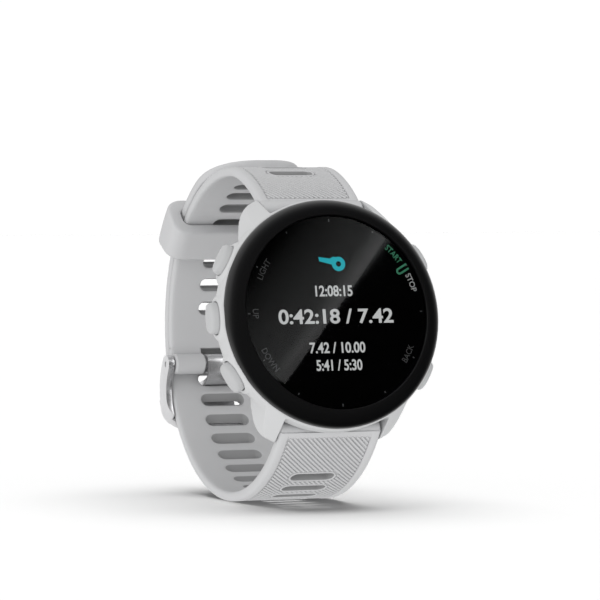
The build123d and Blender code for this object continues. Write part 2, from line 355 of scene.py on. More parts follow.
def clear_glass():
    """Cover glass: what lies under it shows, with the surface's own reflection."""
    mat = bpy.data.materials.new("cover_glass")
    mat.use_nodes = True
    tree = mat.node_tree
    tree.nodes.remove(tree.nodes["Principled BSDF"])
    place = node(tree, "TexCoord").outputs["Object"]
    film = node(tree, "TexNoise", {"Scale": 90.0, "Detail": 5.0}, Vector=place)
    spread = node(tree, "MapRange", {"To Min": 0.014, "To Max": 0.022}, Value=film.outputs["Fac"])
    through = node(tree, "BsdfTransparent", {"Color": (0.86, 0.87, 0.87, 1)})
    shine = node(tree, "BsdfGlossy", Roughness=spread.outputs["Result"])
    edge = node(tree, "Fresnel", {"IOR": 1.5})
    mix = node(tree, "MixShader", Fac=edge.outputs["Fac"])
    tree.links.new(through.outputs["BSDF"], mix.inputs[1])
    tree.links.new(shine.outputs["BSDF"], mix.inputs[2])
    tree.links.new(mix.outputs["Shader"], tree.nodes["Material Output"].inputs["Surface"])
    return mat


# Strap, slot and case surfaces darken their colour in hollows as painted shade.
silicone = surface("strap_silicone", (0.6, 0.602, 0.61), 0.55, grain=0.25, bump=0.12, vary=0.02,
                   painted_shade=0.15)
# Slot walls: the strap's silicone painted darker, as painted shade inside the slots.
slot_shade_silicone = surface("slot_painted_shade", (0.34, 0.341, 0.345), 0.6, grain=0.25, bump=0.12, vary=0.02,
                          painted_shade=0.3)
polymer = surface("case_polymer", (0.63, 0.635, 0.64), 0.42, grain=0.12, bump=0.25, vary=0.02, painted_shade=0.4)
cap_polymer = surface("button_polymer", (0.53, 0.535, 0.54), 0.38, grain=0.1, bump=0.15, vary=0.02)
bezel_black = surface("bezel_black", (0.005, 0.005, 0.0055), 0.32, grain=0.15, bump=0.2, vary=0.1)
mask_black = surface("dial_mask", (0.001, 0.001, 0.0012), 0.6, 0.2, 0.02, 0.2, Specular_IOR_Level=0.0)
glass = clear_glass()
steel = surface("buckle_steel", (0.68, 0.68, 0.69), 0.24, grain=0.06, bump=0.25, stretch=(20, 1, 1),
                Metallic=0.8)
bar_steel = surface("bar_steel", (0.55, 0.55, 0.56), 0.3, grain=0.08, bump=0.15, stretch=(8, 1, 1),
                    Metallic=1.0)
back_black = surface("cover_polymer", (0.03, 0.03, 0.032), 0.45, grain=0.12, bump=0.25)
seal = surface("seal_rubber", (0.025, 0.025, 0.026), 0.7, grain=0.2, bump=0.2)
inner = surface("inner_polymer", (0.05, 0.05, 0.055), 0.6, grain=0.3, bump=0.2)
board = surface("circuit_board", (0.015, 0.1, 0.05), 0.4, grain=0.5, bump=0.3, vary=0.3)
tin = surface("shield_tin", (0.6, 0.6, 0.58), 0.35, grain=0.2, bump=0.15, Metallic=1.0)
foil = surface("battery_foil", (0.5, 0.5, 0.52), 0.4, grain=0.8, bump=0.3, Metallic=0.8)
brass = surface("insert_brass", (0.6, 0.42, 0.16), 0.35, grain=0.1, bump=0.2, stretch=(1, 6, 1),
                Metallic=1.0)
gold = surface("contact_gold", (0.85, 0.6, 0.25), 0.2, grain=0.1, bump=0.1, Metallic=1.0)
window = surface("window_dark", (0.006, 0.004, 0.005), 0.06, grain=0.3, bump=0.01, Coat_Weight=0.6)
display = surface("display", (0.004, 0.004, 0.005), 0.15, grain=0.1, bump=0.02)

CAD_LOOKS = {
    "display_panel": display, "display_carrier": inner, "display_flex": inner, "main_board": board,
    "shield_cans": tin, "gps_antenna": gold, "battery": foil, "vibration_motor": tin, "buzzer": brass,
    "side_switches": inner, "rear_cover": back_black, "rear_screws": bar_steel, "screw_inserts": brass,
    "rear_gasket": seal, "lens_seal": seal, "charging_contacts": gold, "sensor_window": window,
    "sensor_board": board, "sensor_leds": gold, "upper_bar": bar_steel, "lower_bar": bar_steel,
    "upper_release_pin": bar_steel, "lower_release_pin": bar_steel, "buckle_bar": steel,
    **{f"{name}_seal": seal for name in BUTTONS}, **{f"{name}_clip": bar_steel for name in BUTTONS},
}
for name, look in CAD_LOOKS.items():
    mesh = frame["nodes"][name].data
    mesh.materials.clear()
    mesh.materials.append(look)

# ------------------------------------------------------------------ bezel, glass and dial

# Outlines of (radius, depth) points, turned about the dial's axis
BEZEL = [(20.7, 2.0), (20.7, 1.55), (20.62, 1.2), (20.35, 0.72), (19.9, 0.25), (19.3, -0.2), (18.75, -0.52),
         (18.25, -0.72), (17.95, -0.79), (17.75, -0.8), (17.62, -0.72), (17.56, -0.55), (17.56, 0.75),
         (16.0, 0.75), (16.0, 2.0)]
add_piece("bezel", *lathe(BEZEL, 256), bezel_black, slot="bezel_black", replaces=["bezel_ring"], sharp=50)
GLASS_FRONT = -0.45
LENS = [(0.001, GLASS_FRONT), (16.9, GLASS_FRONT), (17.25, -0.42), (17.45, -0.3), (17.5, -0.15), (17.5, -0.06),
        (0.001, -0.06)]
add_piece("cover_glass", *lathe(LENS, 256), glass, slot="cover_glass", replaces=["lens"], sharp=30)
MASK = [(0.001, 0.04), (17.4, 0.04), (17.4, 0.52), (0.001, 0.52)]
add_piece("dial_mask", *lathe(MASK), mask_black, slot="display")

grey_ink = surface("print_grey", (0.16, 0.16, 0.165), 0.6, grain=0.1, bump=0.05)
dim_ink = surface("print_dim", (0.13, 0.13, 0.132), 0.6, grain=0.1, bump=0.05)
green_ink = surface("print_green", (0.12, 0.6, 0.33), 0.6, grain=0.1, bump=0.05)
white_ink = surface("print_white", (0.9, 0.9, 0.9), 0.6, grain=0.1, bump=0.05)
lit_grey = glow("display_grey", (0.66, 0.66, 0.66), 1.0)
lit_teal = glow("display_teal", (0.01, 0.46, 0.54), 1.0)
PRINT_FRONT, PRINT_BACK = 0.0, 0.035


def flat_shape(outline):
    """A thin printed shape from an (x, z) outline."""
    front = [(x, PRINT_FRONT, z) for x, z in outline]
    back = [(x, PRINT_BACK, z) for x, z in outline]
    return loft([front, back])


TICK_R, TICK_W = 16.95, 0.11  # outer end and half width
ticks = []
for hour in range(12):
    start = TICK_R - (0.5 if hour % 3 == 0 else 0.36)
    c, s = turn(30 * hour)
    corners = [(start, -TICK_W), (TICK_R, -TICK_W), (TICK_R, TICK_W), (start, TICK_W)]
    ticks.append(flat_shape([(r * c - a * s, r * s + a * c) for r, a in corners]))
add_piece("dial_ticks", *merged(ticks), grey_ink, slot="display")

# A whistle sign, made of a ringed body and a tapered mouthpiece
MOUTH = [(-2.55, 10.05), (-2.45, 9.3), (0.2, 8.62), (0.9, 9.95), (0.3, 10.1), (-0.4, 9.75)]
WHISTLE_AT, WHISTLE_STEPS = (1.25, 8.78), 32
sign = [flat_shape(MOUTH)]
outer_ring, inner_ring = (circle(r, WHISTLE_STEPS, WHISTLE_AT) for r in (1.3, 0.5))
for k in range(WHISTLE_STEPS):
    j = (k + 1) % WHISTLE_STEPS
    sign.append(flat_shape([inner_ring[k], outer_ring[k], outer_ring[j], inner_ring[j]]))
add_piece("display_sign", *merged(sign), lit_teal, slot="display")


def lettering(name, text, size, lay, material, bold=0.012):
    """A line of figures or letters of a given width and height, laid on the dial by a rule."""
    curve = bpy.data.curves.new(name, "FONT")
    curve.body = text
    curve.resolution_u = 6
    curve.offset = bold
    obj = new_object(name, curve)
    bpy.context.view_layer.update()
    graph = bpy.context.evaluated_depsgraph_get()
    flat = bpy.data.meshes.new_from_object(obj.evaluated_get(graph))
    bpy.data.objects.remove(obj)
    xs = [v.co.x for v in flat.vertices]
    ys = [v.co.y for v in flat.vertices]
    kx, kz = size[0] / (max(xs) - min(xs)), size[1] / (max(ys) - min(ys))
    mx, mz = (max(xs) + min(xs)) / 2, (max(ys) + min(ys)) / 2
    bm = bmesh.new()
    bm.from_mesh(flat)
    made = bmesh.ops.extrude_face_region(bm, geom=bm.faces[:])
    moved = [g for g in made["geom"] if isinstance(g, bmesh.types.BMVert)]
    bmesh.ops.translate(bm, vec=(0, 0, -1), verts=moved)
    bm.verts.index_update()
    verts = []
    for v in bm.verts:
        x, z = lay((v.co.x - mx) * kx, (v.co.y - mz) * kz)
        verts.append((x, PRINT_FRONT if v.co.z > -0.5 else PRINT_BACK, z))
    faces = [tuple(v.index for v in f.verts) for f in bm.faces]
    bm.free()
    add_piece(name, verts, faces, material, slot="display", merge=1e-5)


def level(at):
    """A rule that lays a line straight across, centred at a point."""
    return lambda x, z: (at[0] + x, at[1] + z)


def curved(angle, radius, way):
    """A rule that lays a line round the rim: way 1 has its top outwards, -1 inwards."""

    def lay(x, z):
        c, s = turn(angle - way * math.degrees(x / radius))
        return ((radius + way * z) * c, (radius + way * z) * s)

    return lay


lettering("display_row_1", "12:08:15", (7.2, 2.0), level((-0.05, 3.9)), lit_grey, 0.02)
lettering("display_row_2", "0:42:18 / 7.42", (22.3, 2.7), level((0.0, -0.7)), lit_grey, 0.02)
lettering("display_row_3", "7.42 / 10.00", (10.8, 2.0), level((-0.2, -6.35)), lit_grey, 0.02)
lettering("display_row_4", "5:41 / 5:30", (8.9, 2.0), level((-0.1, -9.5)), lit_grey, 0.02)

# Plain words for what each button does, and a loop between start and stop
lettering("label_light", "LIGHT", (4.0, 1.15), curved(149.1, 15.5, 1), dim_ink)
lettering("label_up", "UP", (1.75, 1.15), curved(180.1, 15.45, -1), dim_ink)
lettering("label_down", "DOWN", (4.55, 1.15), curved(212.0, 15.75, -1), dim_ink)
lettering("label_back", "BACK", (3.4, 1.15), curved(-29.5, 15.5, -1), dim_ink)
lettering("label_start", "START", (3.9, 1.1), curved(40.6, 16.1, 1), green_ink)
lettering("label_stop", "STOP", (3.4, 1.1), curved(19.0, 16.15, 1), white_ink)


def loop_sign(angle, r0, r1, half, stroke):
    """A narrow U of one stroke, open towards the rim."""
    parts = []
    c, s = turn(angle)
    near, far = half - stroke / 2, half + stroke / 2

    def put(points):
        return flat_shape([(r * c - a * s, r * s + a * c) for r, a in points])

    for side in (1, -1):
        parts.append(put([(r0, side * near), (r1, side * near), (r1, side * far), (r0, side * far)]))
    for k in range(12):
        (c0, s0), (c1, s1) = turn(90 + 15 * k), turn(105 + 15 * k)
        parts.append(put([(r0 + near * c0, near * s0), (r0 + far * c0, far * s0),
                          (r0 + far * c1, far * s1), (r0 + near * c1, near * s1)]))
    return merged(parts)


add_piece("start_loop", *loop_sign(29.3, 15.0, 16.9, 0.45, 0.36), green_ink, slot="display")

# ------------------------------------------------------------------ case

# A lug's corner as (x, z) points, and the (radius, depth) outline that all four stay inside
LUG_CORNER = [(LUG_GAP, 13.0), (LUG_GAP, 22.6), (11.3, 21.5), (12.1, 20.9), (12.7, 20.0),
              (13.15, 18.8), (13.5, 17.2), (13.85, 15.0), (13.85, 13.0)]
LUG_LIMIT = [(12.0, 2.2), (20.9, 2.2), (21.3, 2.75), (24.1, 7.8), (24.22, 8.3), (24.2, 8.8), (23.8, 9.5),
             (23.2, 9.9), (22.4, 10.1), (19.0, 9.4), (12.0, 9.2)]


def lug(side, end):
    """A lug's corner outline through the depth of the case, before it is turned to shape."""
    rings = [[(side * x, y, end * z) for x, z in rounded(LUG_CORNER, 0.3, 2)] for y in (1.5, 11.0)]
    return loft(rings)


CASE = [(16.0, 2.0), (20.62, 2.0), (20.9, 2.1), (CASE_R, 2.4), (CASE_R, 4.9), (20.9, 5.5), (19.8, 8.7),
        (19.3, 9.3), (16.0, 9.3)]
CAVITY = [(0.001, 0.5), (17.0, 0.5), (17.0, 8.7), (18.2, 8.7), (18.2, 11.0), (0.001, 11.0)]

# Rings of a button's boss: how far each stands outside its oval, and above the case
BOSS = [(0.9, -2.0), (0.75, -1.0), (0.45, -0.3), (0.1, 0.05), (-0.25, 0.25), (-0.6, 0.3)]
BOSS_SIZE, BOSS_SPREAD = (7.4, 5.2), (2.0, 1.3)
RIGHT_SWELL = 0.35  # the bosses on the right stand out less
POCKET_SIZE, POCKET_FROM, POCKET_TO = (6.0, 3.9), 19.7, 24.0
BORE_R, BORE_FROM, BORE_TO = 0.95, 15.0, 20.5


def rim_ring(angle, radius, outline):
    """An outline laid square to a button's axis at a radius."""
    return [on_rim(angle, radius, across, deep) for across, deep in outline]


shell = raw_object("case_shell", *lathe(CASE))
for end in (1, -1):
    for side in (1, -1):
        horn = raw_object("lug", *lug(side, end))
        boolean(horn, raw_object("limit", *lathe(LUG_LIMIT)), "INTERSECT")
        boolean(shell, horn, "UNION")
for angle in BUTTONS.values():
    rings = []
    swell = 1.0 if angle > 90 else RIGHT_SWELL
    for grow, rise in BOSS:
        radius = CASE_R + (rise * swell if rise > 0 else rise)
        length, width = (size + spread * grow for size, spread in zip(BOSS_SIZE, BOSS_SPREAD))
        rings.append(rim_ring(angle, radius, oval(length, width)))
    boolean(shell, raw_object("boss", *loft(rings)), "UNION")
boolean(shell, raw_object("cavity", *lathe(CAVITY, 128)), "DIFFERENCE")
for angle in BUTTONS.values():
    rings = [rim_ring(angle, radius, oval(*POCKET_SIZE)) for radius in (POCKET_FROM, POCKET_TO)]
    boolean(shell, raw_object("pocket", *loft(rings)), "DIFFERENCE")
    rings = [rim_ring(angle, radius, circle(BORE_R, 24)) for radius in (BORE_FROM, BORE_TO)]
    boolean(shell, raw_object("bore", *loft(rings)), "DIFFERENCE")
for end in (1, -1):
    for name, radius, reach, steps in (("bar_way", BARREL_R + 0.3, LUG_GAP, 48), ("bar_hole", 0.5, 11.4, 24)):
        way = tube_x(radius, 0.001, -reach, reach, BAR_Y, end * BAR_Z, steps, 0.01)
        boolean(shell, raw_object(name, *way), "DIFFERENCE")
VOXEL = 0.17  # the shell is remade from voxels so that its joins blend softly
remesh = shell.modifiers.new("voxels", "REMESH")
remesh.mode, remesh.voxel_size = "VOXEL", VOXEL
soften = shell.modifiers.new("soften", "SMOOTH")
soften.factor, soften.iterations = 0.5, 6
apply_modifiers(shell)
shell.data.transform(TO_ROW)
shell.name = "case_shell"
dress_piece(shell, polymer, replaces=["case_body"], sharp=80)

# ------------------------------------------------------------------ buttons

CAP_SIZE, CAP_ROOT = (5.7, 3.6), 20.4
CAP_LIFT = {"light": 0.25, "up": 0.25, "down": 0.25, "start": -0.1, "back": -0.3}  # how far it stands out

# Rings of a cap: how far each lies inside its oval, and its radius from the dial's axis
CROWN = [(0, CAP_ROOT), (0, 21.75), (0.05, 22.0), (0.17, 22.22), (0.38, 22.4), (0.68, 22.52), (1.05, 22.58),
         (1.5, 22.6)]
# Rings of its shaft with the clip's groove: the shaft's radius, and that from the dial's axis
STEM = [(0.9, 20.5), (0.9, 17.0), (0.6, 17.0), (0.6, 16.55), (0.9, 16.55), (0.9, 16.25)]

for name, angle in BUTTONS.items():
    rings = []
    for inset, radius in CROWN:
        radius += CAP_LIFT[name] * min(1.0, max(0.0, radius - CAP_ROOT))
        rings.append(rim_ring(angle, radius, oval(CAP_SIZE[0] - 2 * inset, CAP_SIZE[1] - 2 * inset)))
    cap = loft(rings)
    shaft = loft([rim_ring(angle, radius, circle(thick, 24)) for thick, radius in STEM])
    add_piece(f"{name}_cap", *merged([cap, shaft]), cap_polymer, body=f"{name}_button", slot="button_polymer",
              replaces=[f"{name}_button"], sharp=50)

# ------------------------------------------------------------------ strap

SLOT_L, SLOT_W = 8.4, 2.4
TONGUE_SLOT = -9.3
# The lower strap's slots between two angles lean: how far their outer and inner openings move
# along the strap, and how much each side closes in halfway through
LEANING = [(-62.0, -30.0, -0.7, 0.25, 0.4), (-30.0, -12.0, -0.65, 0.25, 0.18), (-4.0, 4.0, -0.65, 0.25, 0.18),
           (14.0, 40.0, 0.35, -0.15, 0.18)]
MARGIN = 1.8  # the smooth edge beside the ribbed zone
FLOOR = 0.34  # how far the ribbed zone lies below it
FADE = 2.0  # degrees over which the ribbed zone sinks below its margins

# Rings round a slot from the outside in: how far each stands outside the slot's own outline,
# and how far it rises above the ribbed zone's floor, or from the inner face
OUTER_RIM = [(0.42, 0.0), (0.36, FLOOR * 0.8), (0.3, FLOOR), (0.12, FLOOR), (0.03, FLOOR * 0.7),
             (0.0, FLOOR * 0.3)]
INNER_RIM = [(0.5, 0.0), (0.32, 0.03), (0.16, 0.12), (0.05, 0.28), (0.0, 0.5)]
LEANING_INNER_RIM = [(0.6, 0.0), (0.4, 0.04), (0.2, 0.14), (0.02, 0.3)]
WAIST_OUT, WAIST_IN = -0.2, 0.55  # where the waist of a leaning slot lies off those two
LOWER = {
    "start": -135.0, "end": 90.5, "low": STRAP_GAP, "high": STRAP_GAP + STRAP_T, "tip": True,
    "slots": [TONGUE_SLOT + 8.6 * k for k in range(-12, 0)] + [TONGUE_SLOT + 8.95 * k for k in range(9)],
    "ribs": (-134.0, 89.5),
}
UPPER = {
    "start": -2.0 + 4.2, "end": 142.0, "low": -STRAP_GAP - STRAP_T, "high": -STRAP_GAP, "tip": False,
    "slots": [17.8, 27.3, 37.0, 46.0, 55.3, 64.2, 72.3, 80.0, 88.2, 96.3, 106.3, 119.5],
    "ribs": (9.0, 141.5),
}
TIP_LONG, TIP_ACROSS = 11.0, 7.7  # the tail closes over this length, by this much a side
DIP_LONG, TIP_DIP = 9.0, 0.05  # and its outer face dips over this length, by this much
ACROSS, ALONG, TIP_STEPS = 24, 8, 14  # faces across the zone, along a slot's stretch, and round the tip
PLAIN_STEP = 1.2  # degrees that a face of the plain stretches spans


def half_width(strap, phi):
    """The strap's half width, which closes round its tip."""
    if not strap["tip"]:
        return STRAP_W
    left = arc_length(strap["end"], strap["high"]) - arc_length(phi, strap["high"])
    if left >= TIP_LONG:
        return STRAP_W
    gone = 1 - max(left, 0.0) / TIP_LONG
    return STRAP_W - TIP_ACROSS * (1 - math.sqrt(1 - gone * gone))


def outer_face(strap, phi):
    """Offset of the outer face, which dips towards the tip."""
    if not strap["tip"]:
        return strap["high"]
    left = arc_length(strap["end"], strap["high"]) - arc_length(phi, strap["high"])
    return strap["high"] - TIP_DIP * (1 - min(1.0, max(0.0, left) / DIP_LONG)) ** 2


def sunk(strap, phi):
    """Depth of the ribbed zone below the outer face, nothing at the strap's ends."""
    t = min(phi - strap["ribs"][0], strap["ribs"][1] - phi) / FADE
    t = max(0.0, min(1.0, t))
    return FLOOR * t * t * (3 - 2 * t)


def leaning(strap, centre):
    """A slot's row of shifts and waist in LEANING, or nothing for a straight slot."""
    rows = (row[2:] for row in LEANING if row[0] < centre < row[1])
    return next(rows, None) if strap["tip"] else None


def slot_edge(length, width, x, s):
    """Where the line from a slot's middle to (x, s) crosses its edge, round at both ends."""
    r, h = width / 2, (length - width) / 2
    k = r / abs(s) if abs(s) > 1e-9 else 1e9
    if abs(x * k) <= h:
        return (x * k, s * k)
    # On the round end, |(t x - end, t s)| = r
    end = math.copysign(h, x)
    a, b, c = x * x + s * s, -2 * x * end, h * h - r * r
    t = (-b + math.sqrt(max(0.0, b * b - 4 * a * c))) / (2 * a)
    return (x * t, s * t)


def stations(a, b, count):
    """Evenly spaced values from a to b, both among them."""
    return [a + (b - a) * k / count for k in range(count + 1)]


def plain_stations(a, b):
    """Values from a to b for a stretch with no slot, at most about PLAIN_STEP apart."""
    return stations(a, b, max(2, round((b - a) / PLAIN_STEP)))


def rim(strap, phi, side):
    """The strap's edge at an angle: from the outer step over the rounded rim to the inner face."""
    w, top, low = half_width(strap, phi), outer_face(strap, phi), strap["low"]
    deep, thick = sunk(strap, phi), outer_face(strap, phi) - strap["low"]
    shape = [(w - MARGIN, top - deep), (w - MARGIN + 0.06, top - deep * 0.3), (w - MARGIN + 0.18, top),
             (w - 0.62, top), (w - 0.3, top - 0.09), (w - 0.09, top - 0.3), (w, top - 0.62),
             (w, low + thick * 0.3), (w - 0.1, low + 0.24), (w - 0.35, low + 0.07), (w - 0.8, low),
             (w - MARGIN, low)]
    return [(side * x, phi, offset) for x, offset in shape]


def band_mesh(strap):
    """The strap's skin: a middle zone cut by slots, and a rounded rim down each side."""
    verts, faces, index = [], [], {}
    low, high = strap["low"], strap["high"]

    def vert(x, phi, offset):
        key = (round(x, 4), round(phi, 4), round(offset, 4))
        if key not in index:
            index[key] = len(verts)
            verts.append(loop_point(x, phi, offset))
        return index[key]

    def in_zone(u, phi, outside):
        """A place in the middle zone, u from -1 to 1 across it, on its outer or inner face."""
        offset = outer_face(strap, phi) - sunk(strap, phi) if outside else low
        return (u * (half_width(strap, phi) - MARGIN), phi, offset)

    def join(ring_a, ring_b):
        """Faces between two closed rings of (x, angle, offset)."""
        for i in range(len(ring_a)):
            j = (i + 1) % len(ring_a)
            faces.append((vert(*ring_a[i]), vert(*ring_a[j]), vert(*ring_b[j]), vert(*ring_b[i])))

    def plain(phis):
        """A stretch of the middle zone that has no slot."""
        for p, q in zip(phis, phis[1:]):
            for i in range(ACROSS):
                u0, u1 = -1 + 2 * i / ACROSS, -1 + 2 * (i + 1) / ACROSS
                for outside in (True, False):
                    corners = ((u0, p), (u1, p), (u1, q), (u0, q))
                    faces.append(tuple(vert(*in_zone(u, phi, outside)) for u, phi in corners))

    def slotted(a, b, centre):
        """One stretch of the middle zone round a slot, meshed as rings in from its edge."""
        phis = stations(a, b, ALONG)
        edge = [(-1 + 2 * i / ACROSS, a) for i in range(ACROSS)] + [(1, p) for p in phis[:-1]]
        edge += [(1 - 2 * i / ACROSS, b) for i in range(ACROSS)] + [(-1, p) for p in reversed(phis[1:])]
        per_degree = (arc_length(b, high) - arc_length(a, high)) / (b - a)
        half = half_width(strap, centre) - MARGIN
        lean = leaning(strap, centre)
        walls = []
        for outside in (True, False):
            base = outer_face(strap, centre) - FLOOR if outside else low
            rims, aside = (OUTER_RIM if outside else INNER_RIM), 0.0
            if lean:
                aside = (lean[0] if outside else lean[1]) / per_degree
                waist = (-lean[2], WAIST_OUT if outside else WAIST_IN)
                rims = (OUTER_RIM if outside else LEANING_INNER_RIM) + [waist]
            rings = []
            for grow, rise in rims:
                size = (SLOT_L + 2 * grow, SLOT_W + 2 * grow)
                ring = [slot_edge(*size, u * half, (p - centre) * per_degree) for u, p in edge]
                rings.append([(x, centre + aside + s / per_degree, base + rise) for x, s in ring])
            border = [in_zone(u, p, outside) for u, p in edge]
            between = []
            for t in (0.33, 0.66):
                pairs = zip(border, rings[0])
                between.append([tuple(m * (1 - t) + n * t for m, n in zip(*pair)) for pair in pairs])
            rings = [border, *between, *rings]
            for ring_a, ring_b in zip(rings, rings[1:]):
                join(ring_a, ring_b)
            walls.append(rings[-1])
        join(*walls)

    slots = strap["slots"]
    bounds = [(a + b) / 2 for a, b in zip(slots, slots[1:])]
    first = slots[0] - (bounds[0] - slots[0])
    last = slots[-1] + min(slots[-1] - bounds[-1], 5.0)
    edges = [first, *bounds, last]
    lead = plain_stations(strap["start"], first)
    plain(lead)
    all_phis = lead[:-1]
    for centre, a, b in zip(slots, edges, edges[1:]):
        slotted(a, b, centre)
        all_phis += stations(a, b, ALONG)[:-1]
    if strap["tip"]:
        whole = arc_length(strap["end"], high)
        trail = plain_stations(last, angle_at(whole - TIP_LONG, high))
        for k in range(1, TIP_STEPS):
            left = TIP_LONG * (1 - math.sin(math.pi / 2 * k / TIP_STEPS))
            trail.append(angle_at(whole - left, high))
        trail.append(angle_at(whole - 0.004, high))
    else:
        trail = plain_stations(last, strap["end"])
    plain(trail)
    all_phis += trail

    for side in (1, -1):
        for p, q in zip(all_phis, all_phis[1:]):
            a, b = rim(strap, p, side), rim(strap, q, side)
            for i in range(len(a) - 1):
                faces.append((vert(*a[i]), vert(*a[i + 1]), vert(*b[i + 1]), vert(*b[i])))
    for phi in (all_phis[0], all_phis[-1]):
        right, left = rim(strap, phi, 1), rim(strap, phi, -1)
        top = [in_zone(1 - 2 * i / ACROSS, phi, True) for i in range(ACROSS + 1)]
        bottom = [in_zone(-1 + 2 * i / ACROSS, phi, False) for i in range(ACROSS + 1)]
        ring = top[:-1] + left[:-1] + bottom[:-1] + right[:0:-1]
        faces.append(tuple(vert(*point) for point in ring))
    return verts, faces


RIB_PITCH = 0.66
RIB_REACH, RIB_STEP = 8.0, 0.1  # how far a rib is followed to each side, and how finely
RIB_SHAPE = [(-0.23, -0.04), (-0.22, 0.2), (-0.14, 0.29), (0.14, 0.29), (0.22, 0.2), (0.23, -0.04)]


def ribs(strap):
    """Fine ribs at 45 degrees across the middle zone, stopping short of every slot's rim."""
    high = strap["high"]
    start, end = strap["ribs"]
    s0, s1 = arc_length(start + FADE * 0.6, high), arc_length(end - FADE * 0.6, high)
    slots = [arc_length(p, high) for p in strap["slots"]]
    step = RIB_PITCH * math.sqrt(2)
    last = round(2 * RIB_REACH / RIB_STEP)
    parts = []
    for k in range(int((s1 - s0 + 2 * STRAP_W) / step) + 1):
        base = s0 - STRAP_W + k * step
        run = []
        for i in range(last + 1):
            x = -RIB_REACH + i * RIB_STEP
            s = base + x
            phi = angle_at(max(0.0, s), high)
            inside = s0 <= s <= s1 and abs(x) <= half_width(strap, phi) - MARGIN - 0.02
            near = min(slots, key=lambda c: abs(c - s))
            dx = max(0.0, abs(x) - (SLOT_L - SLOT_W) / 2)
            if math.hypot(dx, s - near) < SLOT_W / 2 + 0.5:
                inside = False
            if inside:
                run.append((x, s))
            if run and (not inside or i == last):
                if len(run) > 4:
                    parts.append(rib(strap, run))
                run = []
    return merged(parts)


def rib(strap, run):
    """One rib along a run of (x, length) points, tapered at its two ends."""
    picks = {0, 1, *range(8, len(run) - 4, 9), len(run) - 2, len(run) - 1}
    rings = []
    for i in sorted(picks):
        x, s = run[i]
        scale = 0.3 if i in (0, len(run) - 1) else 1.0
        ring = []
        for across, rise in RIB_SHAPE:
            # across is square to the rib's own 45 degree line
            px, ps = x + across * scale / math.sqrt(2), s - across * scale / math.sqrt(2)
            phi = angle_at(ps, strap["high"])
            deep = sunk(strap, phi)
            up = rise * scale * deep / FLOOR if rise > 0 else rise
            ring.append(loop_point(px, phi, outer_face(strap, phi) - deep + up))
        rings.append(ring)
    return loft(rings)


KNOB_WINDOW = (-7.9, -4.9)  # from and to, along X


def knob_window(z):
    """Strap end by the lugs: a tube with a window for the release knob."""
    tube = raw_object("barrel", *tube_x(BARREL_R, 0.8, -STRAP_W, STRAP_W, BAR_Y, z, 64, 0.35))
    outline = ((BAR_Y, z - 1.1), (BAR_Y, z + 1.1), (BAR_Y + 3, z + 1.1), (BAR_Y + 3, z - 1.1))
    window = [[(x, y, up) for y, up in outline] for x in KNOB_WINDOW]
    boolean(tube, raw_object("window", *loft(window)), "DIFFERENCE")
    verts = [tuple(v.co) for v in tube.data.vertices]
    faces = [tuple(p.vertices) for p in tube.data.polygons]
    bpy.data.objects.remove(tube)
    return verts, faces


def end_strip(side):
    """The upper strap beside the tongue, from its ribbed part down to the buckle's bar."""
    low, high = UPPER["low"], UPPER["high"]
    corners = [(TONGUE_GAP, low), (STRAP_W, low), (STRAP_W, high), (TONGUE_GAP, high)]
    shape = rounded(corners, 0.5)
    angles = stations(-2.5, 2.5, 5)
    return loft([[loop_point(side * x, phi, offset) for x, offset in shape] for phi in angles])


def in_slot(strap):
    """A test for the faces that line the strap's slots, which are painted darker as shade."""
    frames = []
    middle = (strap["low"] + strap["high"]) / 2
    for phi in strap["slots"]:
        _, y, z = loop_point(0, phi, middle)
        frames.append((y, z, *turn(phi)))

    def test(at, normal):
        if abs(at.x) > SLOT_L / 2 + 0.15:
            return False
        for y, z, c, s in frames:
            out, along = (at.y - y) * c + (at.z - z) * s, (at.z - z) * c - (at.y - y) * s
            round_end = max(0.0, abs(at.x) - (SLOT_L - SLOT_W) / 2)
            beside = math.hypot(round_end, along) - SLOT_W / 2
            if abs(out) < 0.9 and beside < 0.42:
                steep = abs(normal.y * c + normal.z * s) < 0.7
                return -0.74 < out < 0.45 or (beside < 0.04 and steep)
        return False

    return test


# The faces inside the slots take the darker silicone as painted shade.
lower_verts, lower_faces = merged([band_mesh(LOWER), ribs(LOWER), knob_window(-BAR_Z)])
add_piece("lower_strap_skin", lower_verts, lower_faces, silicone, slot="strap_silicone",
          replaces=["lower_strap"], sharp=42, merge=1e-5, painted_shade_lining=(slot_shade_silicone, in_slot(LOWER)))
spans = ((-STRAP_W, -TONGUE_GAP), (TONGUE_GAP, STRAP_W))
buckle_end = [tube_x(1.95, 0.95, x0, x1, PIVOT_Y, PIVOT_Z, 48, 0.35) for x0, x1 in spans]
strips = [end_strip(1), end_strip(-1)]
upper_verts, upper_faces = merged([band_mesh(UPPER), ribs(UPPER), knob_window(BAR_Z), *buckle_end, *strips])
add_piece("upper_strap_skin", upper_verts, upper_faces, silicone, slot="strap_silicone",
          replaces=["upper_strap"], sharp=42, merge=1e-5, painted_shade_lining=(slot_shade_silicone, in_slot(UPPER)))

# ------------------------------------------------------------------ keeper

KEEPER_FROM, KEEPER_TO, KEEPER_WALL, KEEPER_PLAY = 41.0, 56.0, 2.4, 0.3
KEEPER_OUTER_R, KEEPER_INNER_R = 3.1, 1.5
KEEPER_LIP = 0.55  # how far its two ends are rounded over


def round_box(half_x, low, high, radius, steps=10):
    """A rounded rectangle of (x, offset) points, the same number whatever its size."""
    out = []
    for cx, co, a0 in ((half_x - radius, high - radius, 0), (-half_x + radius, high - radius, 90),
                       (-half_x + radius, low + radius, 180), (half_x - radius, low + radius, 270)):
        for k in range(steps + 1):
            c, s = turn(a0 + 90 * k / steps)
            out.append((cx + radius * c, co + radius * s))
    return out


